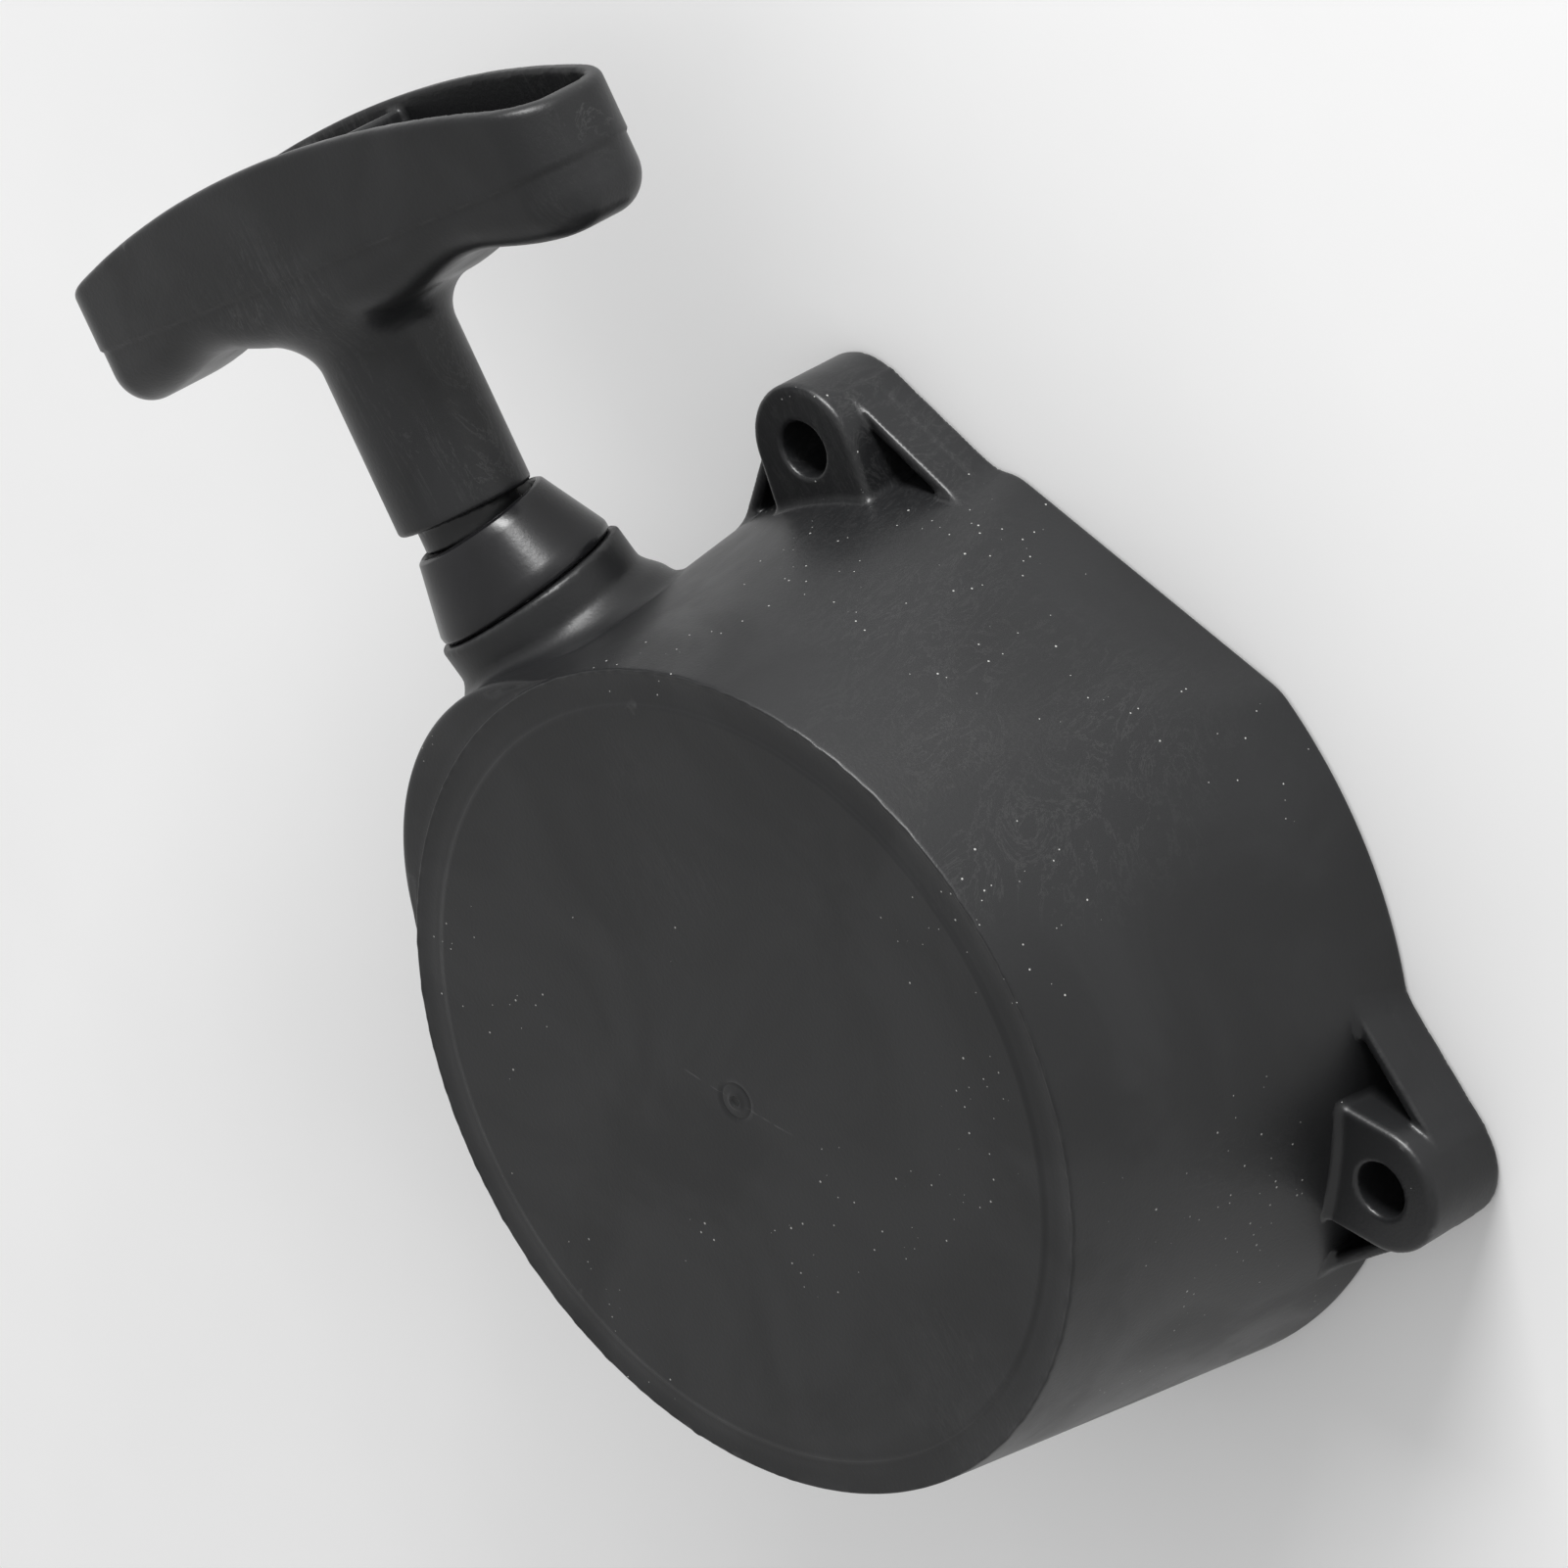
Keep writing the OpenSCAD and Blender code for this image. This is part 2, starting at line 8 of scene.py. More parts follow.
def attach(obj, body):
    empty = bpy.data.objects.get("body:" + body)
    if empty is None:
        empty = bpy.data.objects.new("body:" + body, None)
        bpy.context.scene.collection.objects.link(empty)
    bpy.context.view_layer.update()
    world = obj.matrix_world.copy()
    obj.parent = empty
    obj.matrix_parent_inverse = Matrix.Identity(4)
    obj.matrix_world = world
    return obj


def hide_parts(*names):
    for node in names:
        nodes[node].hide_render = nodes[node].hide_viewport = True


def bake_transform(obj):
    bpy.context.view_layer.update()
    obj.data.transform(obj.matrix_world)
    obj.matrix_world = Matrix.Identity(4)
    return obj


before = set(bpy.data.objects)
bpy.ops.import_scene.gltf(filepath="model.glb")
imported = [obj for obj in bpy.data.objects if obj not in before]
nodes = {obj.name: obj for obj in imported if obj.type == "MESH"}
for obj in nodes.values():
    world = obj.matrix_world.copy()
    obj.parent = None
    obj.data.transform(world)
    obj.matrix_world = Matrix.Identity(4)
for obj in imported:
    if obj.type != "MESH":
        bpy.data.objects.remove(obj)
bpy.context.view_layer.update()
mm = 0.001


# polynomial smooth minimum: the two values meet in a parabola of width k
def softMin(a, b, k):
    h = np.clip(0.5 + 0.5 * (b - a) / k, 0, 1)
    return b + (a - b) * h - k * h * (1 - h)


# smooth maximum: minus the smooth minimum of the negated values
def softMax(a, b, k):
    return -softMin(-a, -b, k)


# intersection of two solids given as distances, its edge rounded to radius r:
# outside both insets the distance is the length of the two overshoots
def roundBoth(a, b, r):
    return np.minimum(-r, np.maximum(a, b)) + np.hypot(np.maximum(r + a, 0), np.maximum(r + b, 0))


# union with a round fillet of radius r: the rounded intersection of the two outsides
def roundEither(a, b, r):
    return -roundBoth(-a, -b, r)


# smooth step from 0 at low to 1 at high: 3t^2 - 2t^3
def ramp(x, low, high):
    t = np.clip((x - low) / (high - low), 0, 1)
    return t * t * (3 - 2 * t)


# sum of cosines with seeded phases and whole-number frequencies, so it closes round a full turn
def ringNoise(theta, low, high, count, seed):
    rng = np.random.default_rng(seed)
    freq = rng.integers(low, high, count)
    phase = rng.uniform(0, 2 * math.pi, count)
    return np.cos(theta[..., None] * freq + phase).sum(-1) / math.sqrt(count)


# vertices in millimetres and index arrays of triangles or quads go in with foreach_set
def makeMesh(name, points, faces, body, material):
    mesh = bpy.data.meshes.new(name)
    mesh.vertices.add(len(points))
    mesh.vertices.foreach_set("co", (np.asarray(points, float) * mm).ravel())
    corners = np.concatenate([f.ravel() for f in faces]).astype(np.int32)
    totals = np.concatenate([np.full(len(f), f.shape[1]) for f in faces])
    mesh.loops.add(len(corners))
    mesh.loops.foreach_set("vertex_index", corners)
    mesh.polygons.add(len(totals))
    mesh.polygons.foreach_set("loop_start", np.concatenate([[0], np.cumsum(totals)[:-1]]).astype(np.int32))
    mesh.polygons.foreach_set("use_smooth", np.ones(len(totals), bool))
    mesh.update(calc_edges=True)
    mesh.validate()
    mesh.materials.append(material)
    obj = bpy.data.objects.new(name, mesh)
    bpy.context.scene.collection.objects.link(obj)
    if body:
        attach(obj, body)
    return obj


# quads of a grid of rows x columns that closes round its columns; a pole turns a row into one point
def ringFaces(rows, cols, poleStart=False, poleEnd=False):
    i, j = np.meshgrid(np.arange(rows - 1), np.arange(cols), indexing="ij")
    k = (j + 1) % cols
    quads = np.stack([i * cols + j, (i + 1) * cols + j, (i + 1) * cols + k, i * cols + k], -1).reshape(-1, 4)
    faces = [quads]
    total = rows * cols
    ring = np.arange(cols)
    if poleStart:
        faces.append(np.stack([np.full(cols, total), ring, np.roll(ring, -1)], -1))
        total += 1
    if poleEnd:
        last = (rows - 1) * cols + ring
        faces.append(np.stack([np.full(cols, total), np.roll(last, -1), last], -1))
    return faces


# surface where field(x, y, z) is zero, on a grid of cubes: one vertex in each cube that the surface
# crosses, at the mean of its edge crossings, then moved down the field's slope until the field is zero
def netSurface(field, low, high, cell):
    low = np.asarray(low, float)
    n = np.ceil((np.asarray(high, float) - low) / cell).astype(int) + 1
    axes = [low[a] + cell * np.arange(n[a]) for a in range(3)]
    grid = np.stack(np.meshgrid(*axes, indexing="ij"), -1)
    value = field(grid[..., 0], grid[..., 1], grid[..., 2])
    inside = value < 0
    m = n - 1
    total = np.zeros((*m, 3))
    count = np.zeros(m)
    cross = []
    for a in range(3):
        v0 = np.take(value, range(n[a] - 1), axis=a)
        v1 = np.take(value, range(1, n[a]), axis=a)
        hit = (v0 < 0) != (v1 < 0)
        t = np.where(hit, v0 / np.where(hit, v0 - v1, 1), 0)
        p = np.take(grid, range(n[a] - 1), axis=a).copy()
        p[..., a] += t * cell
        p *= hit[..., None]
        cross.append((hit, np.take(inside, range(n[a] - 1), axis=a)))
        b, c = [x for x in range(3) if x != a]
        for db in (0, 1):
            for dc in (0, 1):
                pick = [slice(None)] * 3
                pick[b] = slice(db, db + m[b])
                pick[c] = slice(dc, dc + m[c])
                total += p[tuple(pick)]
                count += hit[tuple(pick)]
    active = count > 0
    index = np.full(m, -1)
    index[active] = np.arange(active.sum())
    points = total[active] / count[active][:, None]
    quads = []
    for a in range(3):
        hit, startIn = cross[a]
        b, c = [(1, 2), (2, 0), (0, 1)][a]
        at = np.argwhere(hit)
        at = at[(at[:, b] > 0) & (at[:, c] > 0) & (at[:, b] < m[b]) & (at[:, c] < m[c])]
        unitB, unitC = np.eye(3, dtype=int)[b], np.eye(3, dtype=int)[c]
        ring = [at - unitB - unitC, at - unitC, at, at - unitB]
        quad = np.stack([index[tuple(r.T)] for r in ring], -1)
        flip = ~startIn[tuple(at.T)]
        quad[flip] = quad[flip][:, ::-1]
        quads.append(quad)
    h = cell * 0.02
    for _ in range(4):
        here = field(*points.T)
        slope = np.stack([(field(*(points + h * e).T) - field(*(points - h * e).T)) / (2 * h)
                          for e in np.eye(3)], -1)
        step = slope * (here / np.maximum((slope ** 2).sum(-1), 0.2))[:, None]
        points -= np.clip(step, -0.4 * cell, 0.4 * cell)
    return points, np.concatenate(quads)


# one node with its values, linked from the sockets given as (node, output name)
def addNode(tree, kind, links=None, **values):
    n = tree.nodes.new(kind)
    for key, v in values.items():
        if hasattr(n, key) and key not in n.inputs:
            setattr(n, key, v)
        else:
            n.inputs[key].default_value = v
    for key, source in (links or {}).items():
        tree.links.new(source, n.inputs[key])
    return n


# one arithmetic node; a and b are sockets or numbers
def mathNode(tree, operation, a, b=None, clamp=False):
    n = tree.nodes.new("ShaderNodeMath")
    n.operation = operation
    n.use_clamp = clamp
    for i, x in enumerate((a, b)):
        if x is None:
            continue
        if isinstance(x, (int, float)):
            n.inputs[i].default_value = x
        else:
            tree.links.new(x, n.inputs[i])
    return n.outputs[0]


# smooth step of a socket between low and high
def rampNode(tree, source, low, high, outLow=0.0, outHigh=1.0):
    n = tree.nodes.new("ShaderNodeMapRange")
    n.interpolation_type = "SMOOTHSTEP"
    for key, v in zip(("From Min", "From Max", "To Min", "To Max"), (low, high, outLow, outHigh)):
        n.inputs[key].default_value = v
    tree.links.new(source, n.inputs["Value"])
    return n.outputs["Result"]


# colour between a and b by share; sockets 0, 6 and 7 are the mix node's colour factor, A and B
def mixColour(tree, share, a, b):
    n = tree.nodes.new("ShaderNodeMix")
    n.data_type = "RGBA"
    for socket, v in ((n.inputs[0], share), (n.inputs[6], a), (n.inputs[7], b)):
        if isinstance(v, tuple):
            socket.default_value = (*v, 1)
        elif isinstance(v, float):
            socket.default_value = v
        else:
            tree.links.new(v, socket)
    return n.outputs[2]


# an empty node group with its sockets, its input node and its output node
def newGroup(name, inputs, outputs):
    group = bpy.data.node_groups.new(name, "ShaderNodeTree")
    for label, kind, value in inputs:
        s = group.interface.new_socket(label, in_out="INPUT", socket_type=kind)
        if value is not None:
            s.default_value = value
    for label, kind in outputs:
        group.interface.new_socket(label, in_out="OUTPUT", socket_type=kind)
    return group, group.nodes.new("NodeGroupInput"), group.nodes.new("NodeGroupOutput")


# one use of a node group, with its values and links
def useGroup(tree, group, links=None, **values):
    n = tree.nodes.new("ShaderNodeGroup")
    n.node_tree = group
    for key, v in values.items():
        n.inputs[key].default_value = v
    for key, source in (links or {}).items():
        tree.links.new(source, n.inputs[key])
    return n


# fine moulded grain and slow flow marks: a height, and a mottle from 0 to 1 that varies the gloss
def grainGroup():
    g, i, o = newGroup("mouldedGrain",
                       [("Vector", "NodeSocketVector", None), ("Grain Scale", "NodeSocketFloat", 2600.0),
                        ("Flow Scale", "NodeSocketFloat", 45.0), ("Flow Share", "NodeSocketFloat", 0.35)],
                       [("Height", "NodeSocketFloat"), ("Mottle", "NodeSocketFloat")])
    vector = i.outputs["Vector"]
    fine = addNode(g, "ShaderNodeTexNoise", {"Vector": vector, "Scale": i.outputs["Grain Scale"]},
                   Detail=3.0, Roughness=0.6)
    flow = addNode(g, "ShaderNodeTexNoise", {"Vector": i.outputs["Vector"], "Scale": i.outputs["Flow Scale"]},
                   Detail=4.0, Roughness=0.55, Distortion=0.8)
    soft = mathNode(g, "MULTIPLY", flow.outputs["Fac"], i.outputs["Flow Share"])
    g.links.new(mathNode(g, "ADD", fine.outputs["Fac"], soft), o.inputs["Height"])
    g.links.new(rampNode(g, flow.outputs["Fac"], 0.32, 0.68), o.inputs["Mottle"])
    return g


# pale dust specks: the near part of scattered cells, kept only where a slow noise gathers them
def dustGroup():
    g, i, o = newGroup("dustSpecks",
                       [("Vector", "NodeSocketVector", None), ("Cell Scale", "NodeSocketFloat", 900.0),
                        ("Speck Size", "NodeSocketFloat", 0.2), ("Spread", "NodeSocketFloat", 0.6)],
                       [("Mask", "NodeSocketFloat")])
    vector = i.outputs["Vector"]
    cells = addNode(g, "ShaderNodeTexVoronoi", {"Vector": vector, "Scale": i.outputs["Cell Scale"]})
    random = addNode(g, "ShaderNodeSeparateColor", {"Color": cells.outputs["Color"]})
    crowd = addNode(g, "ShaderNodeTexNoise", {"Vector": i.outputs["Vector"]}, Scale=38.0, Detail=3.0)
    size = mathNode(g, "MULTIPLY", random.outputs["Red"], i.outputs["Speck Size"])
    near = mathNode(g, "LESS_THAN", cells.outputs["Distance"], size)
    gathered = mathNode(g, "GREATER_THAN", crowd.outputs["Fac"], i.outputs["Spread"])
    few = mathNode(g, "GREATER_THAN", random.outputs["Green"], 0.8)
    g.links.new(mathNode(g, "MULTIPLY", mathNode(g, "MULTIPLY", near, gathered), few), o.inputs["Mask"])
    return g


# painted highlight on convex edges and burrs: the bulge of the surface, roughened by noise
def edgeGroup():
    g, i, o = newGroup("paintedEdgeHighlight",
                       [("Vector", "NodeSocketVector", None), ("Low", "NodeSocketFloat", 0.53),
                        ("High", "NodeSocketFloat", 0.6), ("Breakup", "NodeSocketFloat", 420.0)],
                       [("Mask", "NodeSocketFloat")])
    bulge = g.nodes.new("ShaderNodeNewGeometry").outputs["Pointiness"]
    n = g.nodes.new("ShaderNodeMapRange")
    g.links.new(bulge, n.inputs["Value"])
    g.links.new(i.outputs["Low"], n.inputs["From Min"])
    g.links.new(i.outputs["High"], n.inputs["From Max"])
    rough = addNode(g, "ShaderNodeTexNoise", {"Vector": i.outputs["Vector"], "Scale": i.outputs["Breakup"]},
                    Detail=4.0)
    g.links.new(mathNode(g, "MULTIPLY", n.outputs["Result"], rampNode(g, rough.outputs["Fac"], 0.4, 0.62)),
                o.inputs["Mask"])
    return g


# fine scratches: thin crests of a stretched, bent wave pattern broken up by noise
def scratchGroup():
    g, i, o = newGroup("scuffs",
                       [("Vector", "NodeSocketVector", None), ("Scale", "NodeSocketFloat", 60.0),
                        ("Amount", "NodeSocketFloat", 0.5)],
                       [("Mask", "NodeSocketFloat")])
    turn = addNode(g, "ShaderNodeMapping", {"Vector": i.outputs["Vector"]}, Rotation=(0.4, 0.9, 0.7),
                   Scale=(1.0, 9.0, 2.0))
    lines = addNode(g, "ShaderNodeTexNoise", {"Vector": turn.outputs["Vector"], "Scale": i.outputs["Scale"]},
                    Detail=6.0, Roughness=0.75, Distortion=1.2)
    where = addNode(g, "ShaderNodeTexNoise", {"Vector": i.outputs["Vector"]}, Scale=24.0, Detail=2.0)
    thin = rampNode(g, mathNode(g, "ABSOLUTE", mathNode(g, "SUBTRACT", lines.outputs["Fac"], 0.5)), 0.0, 0.02,
                    1.0, 0.0)
    here = rampNode(g, where.outputs["Fac"], 0.5, 0.66)
    g.links.new(mathNode(g, "MULTIPLY", mathNode(g, "MULTIPLY", thin, here), i.outputs["Amount"]),
                o.inputs["Mask"])
    return g


grain, dust, edges, scuffs = grainGroup(), dustGroup(), edgeGroup(), scratchGroup()


# moulded plastic: grain in the bump, gloss that varies with the mottle, dust, scuffs and a painted highlight on
# the edges on top
def plastic(name, v):
    mat = bpy.data.materials.new(name)
    mat.use_nodes = True
    t = mat.node_tree
    shader = t.nodes["Principled BSDF"]
    where = addNode(t, "ShaderNodeTexCoord").outputs["Object"]
    g = useGroup(t, grain, {"Vector": where}, **{"Grain Scale": v["grainScale"], "Flow Scale": v["flowScale"],
                                                 "Flow Share": v["flowShare"]})
    d = useGroup(t, dust, {"Vector": where}, **{"Cell Scale": v["dustScale"], "Speck Size": v["dustSize"],
                                                "Spread": v["dustSpread"]})
    e = useGroup(t, edges, {"Vector": where}, **{"Low": v["edgeLow"], "High": v["edgeHigh"]})
    s = useGroup(t, scuffs, {"Vector": where}, Amount=v["scuffs"])
    base = mixColour(t, g.outputs["Mottle"], v["dark"], v["light"])
    # painted highlight: convex edges lightened towards the edge colour
    edgeHighlighted = mixColour(t, mathNode(t, "MULTIPLY", e.outputs["Mask"], v["edgeShare"]), base, v["edge"])
    marked = mixColour(t, s.outputs["Mask"], edgeHighlighted, v["scuff"])
    dusty = mixColour(t, d.outputs["Mask"], marked, v["dust"])
    t.links.new(dusty, shader.inputs["Base Color"])
    rough = rampNode(t, g.outputs["Mottle"], 0, 1, v["roughHigh"], v["roughLow"])
    rough = mathNode(t, "ADD", rough, mathNode(t, "MULTIPLY", s.outputs["Mask"], 0.2))
    t.links.new(mathNode(t, "ADD", rough, mathNode(t, "MULTIPLY", d.outputs["Mask"], 0.3), True),
                shader.inputs["Roughness"])
    bump = addNode(t, "ShaderNodeBump", {"Height": g.outputs["Height"]}, Strength=v["bump"], Distance=0.0001)
    t.links.new(bump.outputs["Normal"], shader.inputs["Normal"])
    for key, x in v.get("fixed", {}).items():
        shader.inputs[key].default_value = x
    return mat


# edge, edgeShare, edgeLow and edgeHigh set the painted highlight on convex edges
blackNylonValues = dict(
    dark=(0.006, 0.0062, 0.0067), light=(0.011, 0.0113, 0.012), roughHigh=0.44, roughLow=0.34,
    grainScale=2400.0, flowScale=40.0, flowShare=0.5, bump=0.22,
    dustScale=1500.0, dustSize=0.2, dustSpread=0.55,
    edgeLow=0.53, edgeHigh=0.62, edgeShare=0.35, edge=(0.1, 0.1, 0.1), scuff=(0.05, 0.05, 0.05), scuffs=0.25,
    dust=(0.3, 0.3, 0.29), fixed={"Specular IOR Level": 0.4})
glossNylonValues = dict(
    dark=(0.004, 0.004, 0.0045), light=(0.008, 0.008, 0.009), roughHigh=0.34, roughLow=0.26,
    grainScale=1600.0, flowScale=60.0, flowShare=0.6, bump=0.12,
    dustScale=1400.0, dustSize=0.18, dustSpread=0.62,
    edgeLow=0.54, edgeHigh=0.62, edgeShare=0.25, edge=(0.08, 0.08, 0.08),
    scuff=(0.05, 0.05, 0.05), scuffs=0.3,
    dust=(0.4, 0.4, 0.39), fixed={"Specular IOR Level": 0.38})
handleNylonValues = dict(
    dark=(0.006, 0.0062, 0.0067), light=(0.011, 0.0113, 0.012), roughHigh=0.42, roughLow=0.32,
    grainScale=2100.0, flowScale=55.0, flowShare=0.5, bump=0.28,
    dustScale=1200.0, dustSize=0.2, dustSpread=0.64,
    edgeLow=0.53, edgeHigh=0.6, edgeShare=0.4, edge=(0.1, 0.1, 0.1), scuff=(0.07, 0.07, 0.07), scuffs=0.4,
    dust=(0.4, 0.4, 0.39), fixed={"Specular IOR Level": 0.38})
whiteNylonValues = dict(
    dark=(0.74, 0.74, 0.71), light=(0.82, 0.82, 0.8), roughHigh=0.48, roughLow=0.36,
    grainScale=1500.0, flowScale=30.0, flowShare=0.5, bump=0.1,
    dustScale=420.0, dustSize=0.12, dustSpread=0.62,
    edgeLow=0.53, edgeHigh=0.62, edgeShare=0.2, edge=(0.9, 0.9, 0.88), scuff=(0.55, 0.54, 0.5), scuffs=0.2,
    dust=(0.25, 0.24, 0.22), fixed={"Subsurface Weight": 0.12, "Subsurface Radius": (0.004, 0.004, 0.003)})
blackNylon = plastic("blackNylon", blackNylonValues)
glossNylon = plastic("glossNylon", glossNylonValues)
handleNylon = plastic("handleNylon", handleNylonValues)
whiteNylon = plastic("whiteNylon", whiteNylonValues)


# metal: brushed or turned lines in the bump, gloss and tarnish from slow noise, and a painted highlight on the
# edges
def metal(name, v):
    mat = bpy.data.materials.new(name)
    mat.use_nodes = True
    t = mat.node_tree
    shader = t.nodes["Principled BSDF"]
    where = addNode(t, "ShaderNodeTexCoord").outputs["Object"]
    stretched = addNode(t, "ShaderNodeMapping", {"Vector": where}, Scale=v["stretch"])
    lines = addNode(t, "ShaderNodeTexNoise", {"Vector": stretched.outputs["Vector"]}, Scale=v["lineScale"],
                    Detail=5.0, Roughness=0.65)
    tarnish = addNode(t, "ShaderNodeTexNoise", {"Vector": where}, Scale=v["tarnishScale"], Detail=4.0)
    e = useGroup(t, edges, {"Vector": where}, **{"Low": 0.52, "High": 0.6})
    base = mixColour(t, rampNode(t, tarnish.outputs["Fac"], 0.35, 0.7), v["colour"], v["tarnish"])
    # painted highlight: convex edges lightened towards the edge colour
    t.links.new(mixColour(t, e.outputs["Mask"], base, v["edge"]), shader.inputs["Base Color"])
    t.links.new(rampNode(t, lines.outputs["Fac"], 0.3, 0.7, v["roughLow"], v["roughHigh"]),
                shader.inputs["Roughness"])
    bump = addNode(t, "ShaderNodeBump", {"Height": lines.outputs["Fac"]}, Strength=v["bump"],
                   Distance=0.00005)
    t.links.new(bump.outputs["Normal"], shader.inputs["Normal"])
    shader.inputs["Metallic"].default_value = 1.0
    return mat


# edge is the colour of the painted highlight on convex edges
brass = metal("turnedBrass", dict(
    colour=(0.72, 0.52, 0.25), tarnish=(0.5, 0.34, 0.16), edge=(0.85, 0.68, 0.4), stretch=(1, 1, 14),
    lineScale=700.0, tarnishScale=160.0, roughLow=0.2, roughHigh=0.42, bump=0.25))
sheetSteel = metal("pressedSheetSteel", dict(
    colour=(0.56, 0.57, 0.58), tarnish=(0.4, 0.41, 0.42), edge=(0.8, 0.8, 0.8), stretch=(12, 1, 1),
    lineScale=500.0, tarnishScale=90.0, roughLow=0.24, roughHigh=0.45, bump=0.2))
springSteel = metal("bluedSpringSteel", dict(
    colour=(0.2, 0.23, 0.28), tarnish=(0.3, 0.27, 0.22), edge=(0.6, 0.6, 0.6), stretch=(1, 1, 10),
    lineScale=600.0, tarnishScale=60.0, roughLow=0.2, roughHigh=0.4, bump=0.2))
darkZinc = metal("darkZincPlate", dict(
    colour=(0.13, 0.13, 0.14), tarnish=(0.2, 0.19, 0.16), edge=(0.5, 0.5, 0.5), stretch=(1, 1, 1),
    lineScale=900.0, tarnishScale=200.0, roughLow=0.3, roughHigh=0.5, bump=0.3))


# braided rope: noise fibres along the piece's own UV, in the colour and the bump
def ropeMaterial(name, v, useUv):
    mat = bpy.data.materials.new(name)
    mat.use_nodes = True
    t = mat.node_tree
    shader = t.nodes["Principled BSDF"]
    coords = addNode(t, "ShaderNodeTexCoord")
    where = coords.outputs["UV"] if useUv else coords.outputs["Object"]
    fibre = addNode(t, "ShaderNodeTexNoise", {"Vector": where}, Scale=v["fibreScale"], Detail=5.0,
                    Roughness=0.7)
    slow = addNode(t, "ShaderNodeTexNoise", {"Vector": coords.outputs["Object"]}, Scale=120.0, Detail=3.0)
    share = mathNode(t, "MULTIPLY", fibre.outputs["Fac"], slow.outputs["Fac"])
    t.links.new(mixColour(t, rampNode(t, share, 0.15, 0.4), v["shade"], v["colour"]),
                shader.inputs["Base Color"])
    t.links.new(rampNode(t, fibre.outputs["Fac"], 0.3, 0.7, 0.9, 0.7), shader.inputs["Roughness"])
    bump = addNode(t, "ShaderNodeBump", {"Height": fibre.outputs["Fac"]}, Strength=0.5, Distance=0.0001)
    t.links.new(bump.outputs["Normal"], shader.inputs["Normal"])
    shader.inputs["Sheen Weight"].default_value = 0.3
    return mat


ropeValues = dict(colour=(0.82, 0.81, 0.77), shade=(0.5, 0.49, 0.45), fibreScale=40.0)
ropeYarn = ropeMaterial("braidedRope", ropeValues, True)
ropeWound = ropeMaterial("woundRope", dict(ropeValues, fibreScale=1400.0), False)
print("materials made")


# the cup in millimetres and degrees
shell = dict(height=47.3, faceRadius=47.0, rimRadius=53.0, rimBore=48.0, faceThickness=2.8, wall=2.4,
             flatDistance=49.4, flatAngle=-56.7, lobeRadius=28.7, lobeX=20.8, lobeY=10.9, lobeDrop=1.0,
             lobeFloor=12.0, raised=0.25, band=3.8, columns=576, flash=0.16)
ceiling = shell["height"] - shell["faceThickness"]
lobeAngle = math.atan2(shell["lobeY"], shell["lobeX"])
lobeDistance = math.hypot(shell["lobeX"], shell["lobeY"])


# distance from the axis to a circle of radius r about the lobe's centre, looking along theta:
# the far root of the ray-circle equation
def lobeReach(theta, r):
    a = theta - lobeAngle
    return lobeDistance * np.cos(a) + np.sqrt(r * r - (lobeDistance * np.sin(a)) ** 2)


# wall radius: a cone whose side is cut by a flat, joined smoothly to the lobe where lobeShare is 1
def outerRadius(theta, z, lobeShare=1.0):
    cone = shell["rimRadius"] + (shell["faceRadius"] - shell["rimRadius"]) * z / shell["height"]
    facing = np.maximum(np.cos(theta - math.radians(shell["flatAngle"])), 0.2)
    base = softMin(cone, shell["flatDistance"] / facing, 0.5)
    lobed = softMax(base, lobeReach(theta, shell["lobeRadius"]), 1.0)
    return base + lobeShare * (lobed - base)


# bore radius: a cone from the rim to the ceiling, joined to the lobe's pocket where lobeShare is 1
def innerRadius(theta, z, lobeShare):
    cone = shell["rimBore"] + (shell["faceRadius"] - shell["wall"] - shell["rimBore"]) * z / ceiling
    lobed = softMax(cone, lobeReach(theta, shell["lobeRadius"] - shell["wall"]), 0.8)
    return cone + lobeShare * (lobed - cone)


